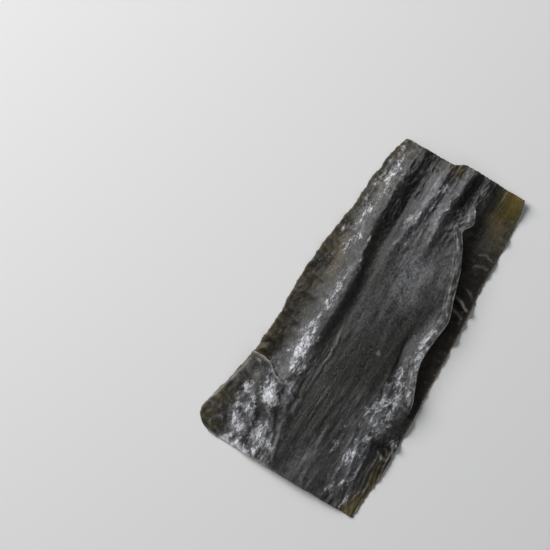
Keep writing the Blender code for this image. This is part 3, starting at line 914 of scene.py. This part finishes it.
def olive_colour(n, p):
    """The thin margins."""
    olive = n.mix(n.range(p.clouds, 0.40, 0.60), OLIVE_DARK, OLIVE_LIGHT)
    olive = n.mix(n.range(p.flecks, 0.40, 0.66, 0, 0.60), olive, OLIVE_FLECK)
    # Painted highlight: crests of the margins are painted lighter
    return n.mix(n.range(p.crest, 0.01, 0.26, 0, 0.38), olive, OLIVE_CREST_HIGHLIGHT)


def leaf_colour(n, p):
    """The leaf below its powder: blacker in its threads and cracks, with painted shade in its hollows and
    grooves and a painted shadow on the strip outside the fold, and painted highlights at its rim and on
    thin lips, with some rubbed powder there.
    """
    leaf = n.mix(p.thin, dark_colour(n, p), olive_colour(n, p))
    leaf = n.mix(n.times(p.drawn, n.range(p.threads, 0.48, 0.37, 0, 0.7)), leaf, THREAD_BLACK)
    # Painted shade: hollows of the fine surface are painted black, less so in the olive margins
    hollow_shade = n.times(n.range(p.crest, -0.01, -0.18, 0, 0.8), n.range(p.thin, 0, 1, 1, 0.45))
    leaf = n.mix(hollow_shade, leaf, HOLLOW_SHADE_AND_CRACK_BLACK)
    crazing = n.times(n.range(p.cracks, 0, 0.024, 0.45, 0), n.range(p.haze, 0, 0.6, 1, 0.2))
    leaf = n.mix(crazing, leaf, HOLLOW_SHADE_AND_CRACK_BLACK)
    # Painted shade: grooves and the line beside the fold's crest are painted near black
    leaf = n.mix(n.times(p.shade, 0.75), leaf, GROOVE_SHADE_BLACK)
    # Brown-black strip with its painted shadow, and painted shade on the left margin and the tear's mouth
    leaf = n.mix(n.times(p.deep, 0.85), leaf, BROWN_BLACK_AND_SHADOW)
    # Painted highlight: the edges are painted paler
    leaf = n.mix(n.times(p.rim, 0.55), leaf, RIM_HIGHLIGHT)
    # Painted highlight on thin lips, crests and wrinkles, with rubbed powder
    highlight_and_worn = n.times(p.lips, n.range(p.flecks, 0.36, 0.60, 0.42, 0.95))
    return n.mix(highlight_and_worn, leaf, HIGHLIGHT_AND_WORN_PALE)


def powder_patches(n, p):
    """White flecks that merge where the bloom is thick, broken up by cracks, veins and small gaps."""
    broken = n.plus(n.times(p.flecks, 2.2), n.times(p.grain, 1.2), n.times(p.clumps, 3.2))
    level = n.maths("SUBTRACT", n.plus(p.bloom, broken, n.times(p.crest, 0.6)), 3.34)
    return n.times(
        n.maths("POWER", n.maths("MULTIPLY", level, 0.92, clamp=True), 1.9),
        n.range(p.bloom, 0.03, 0.25),
        n.range(p.cracks, 0, 0.042, 0.12, 1),
        n.range(p.gaps, 0.38, 0.62, 0.55, 1.25),
        n.range(p.veins, 0.005, 0.045, 0.55, 1.15),
    )


def powder_film(n, p):
    """A thin feathery film of powder, on the haze patches and around the bloom, but less in hollows. On
    the narrow end's ridges the haze patches paint a sheen.
    """
    around_bloom = n.maths("MULTIPLY", p.bloom, 0.75, clamp=True)
    outside_hollows = n.maths("SUBTRACT", 1.0, n.times(n.maths("MAXIMUM", p.deep, p.shade), 0.7))
    film = n.times(n.maths("MAXIMUM", p.haze, around_bloom), outside_hollows)
    feathery = n.mix(0.45, p.flecks, p.lines)
    veil = n.plus(n.range(feathery, 0.38, 0.64, 0.05, 0.34), n.range(p.feathers, 0.42, 0.60, 0, 0.10))
    return n.times(film, veil)


def powder_cover(n, p):
    """How much powder hides the leaf: patches, film, single specks, and dashes along the leaf."""
    dust = n.times(n.range(p.specks, 0.62, 0.76, 0, 0.34), n.range(p.feathers, 0.40, 0.62, 0.12, 0.9))
    dashes = n.times(n.range(p.threads, 0.55, 0.72, 0, 0.17), n.range(p.feathers, 0.44, 0.60, 0.15, 1))
    cover = n.maths("MAXIMUM", powder_patches(n, p), powder_film(n, p))
    return n.maths("MAXIMUM", cover, n.maths("MAXIMUM", dust, n.times(p.drawn, dashes)))


def kelp_material():
    """Blackish leather, thinner and olive at the margins, flecked and dusted with white powder, with
    painted shade in its hollows and grooves and painted highlights on its crests and edges.
    """
    n = Nodes("kelp")
    p = kelp_patterns(n)
    powder = powder_cover(n, p)
    n.feed(n.shader.inputs["Base Color"], n.mix(powder, leaf_colour(n, p), POWDER_WHITE))

    rough = n.plus(n.range(p.clouds, 0.35, 0.65, 0.40, 0.52), n.times(powder, 0.45))
    rough = n.maths("ADD", rough, n.range(p.grain, 0.3, 0.7, -0.06, 0.06), clamp=True)
    n.feed(n.shader.inputs["Roughness"], rough)
    n.shader.inputs["Specular IOR Level"].default_value = 0.3

    relief = n.plus(n.times(p.grain, 0.55), n.times(p.drawn, p.streaks), n.times(p.flecks, 0.3))
    relief = n.plus(relief, n.times(powder, 0.2))
    bump = n.add("ShaderNodeBump", {"Height": relief, "Strength": 1.0, "Distance": 0.7 * MM})
    n.feed(n.shader.inputs["Normal"], bump.outputs["Normal"])
    return n.material


def floor_material():
    n = Nodes("floor")
    n.shader.inputs["Base Color"].default_value = FLOOR_GREY
    n.shader.inputs["Roughness"].default_value = 0.85
    return n.material


# Floor, light and camera


def add_floor():
    bpy.ops.mesh.primitive_plane_add(size=6, location=(0, 0, -FLOOR_GAP * MM))
    floor = bpy.context.object
    floor.name = "floor"
    floor.data.materials.append(floor_material())


def add_area_light(name, place, size, power):
    """A square lamp, turned towards the leaf."""
    data = bpy.data.lights.new(name, "AREA")
    data.shape = "SQUARE"
    data.size = size
    data.energy = power
    light = bpy.data.objects.new(name, data)
    bpy.context.scene.collection.objects.link(light)
    light.location = place
    light.rotation_euler = (-Vector(place)).to_track_quat("-Z", "Y").to_euler()


def add_world(strength):
    world = bpy.data.worlds.new("studio")
    world.use_nodes = True
    background = world.node_tree.nodes["Background"]
    background.inputs["Color"].default_value = SKY_WHITE
    background.inputs["Strength"].default_value = strength
    bpy.context.scene.world = world


def add_camera():
    data = bpy.data.cameras.new("camera")
    data.lens = data.sensor_width * CAMERA_UP / CAMERA_SEES
    camera = bpy.data.objects.new("camera", data)
    bpy.context.scene.collection.objects.link(camera)
    place = Vector(CAMERA_OVER) + Vector((0, 0, CAMERA_UP))
    camera.matrix_world = Matrix.Translation(place) @ Matrix.Rotation(CAMERA_TURN, 4, "Z")
    bpy.context.scene.camera = camera


def add_scene():
    add_floor()
    add_world(strength=0.16)
    add_area_light("key", place=(-1.80, 0.44, 1.16), size=1.25, power=68)
    add_area_light("fill", place=(0.9, -0.5, 0.9), size=1.4, power=2)
    bpy.context.scene.view_settings.view_transform = "Standard"
    add_camera()


def main():
    leaf = make_leaf()
    close_leaf(leaf)
    leaf.data.materials.append(kelp_material())
    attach(leaf, "root")
    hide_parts("kelp_sheet")
    add_scene()


main()
